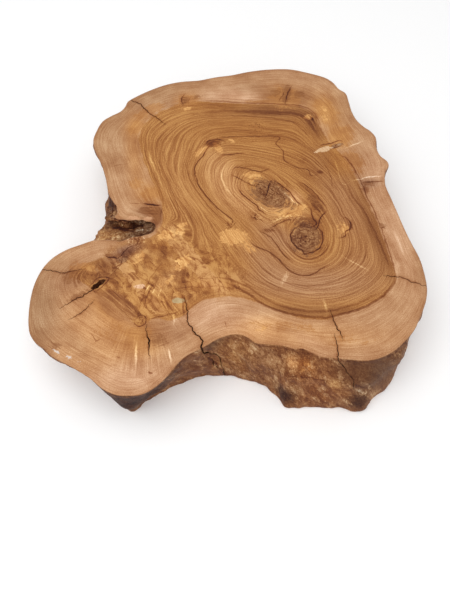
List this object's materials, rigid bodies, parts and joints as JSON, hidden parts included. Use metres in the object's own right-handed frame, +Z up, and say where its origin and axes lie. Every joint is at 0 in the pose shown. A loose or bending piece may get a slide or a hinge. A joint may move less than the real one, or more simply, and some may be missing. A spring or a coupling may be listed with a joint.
{
  "type": "olive wood round",
  "caption": "Thick live-edge slab cut across an olive trunk, with sawn flat faces, growth rings, drying cracks and a bark-lined notch; for use as a table top, base or board.",
  "frame": {"origin": "centre of the underside's bounding rectangle, on the surface that the slab rests on", "axes": "+Z up, along the trunk; -Y is the front, with the hollow between the two lobes; the notch is on the -X side"},
  "size_m": [0.5239, 0.5605, 0.1],
  "materials": {
    "oiled_olive_wood": "oiled, satin"
  },
  "bodies": {
    "root": {"olive_wood_round": "oiled_olive_wood"}
  },
  "joints": []
}
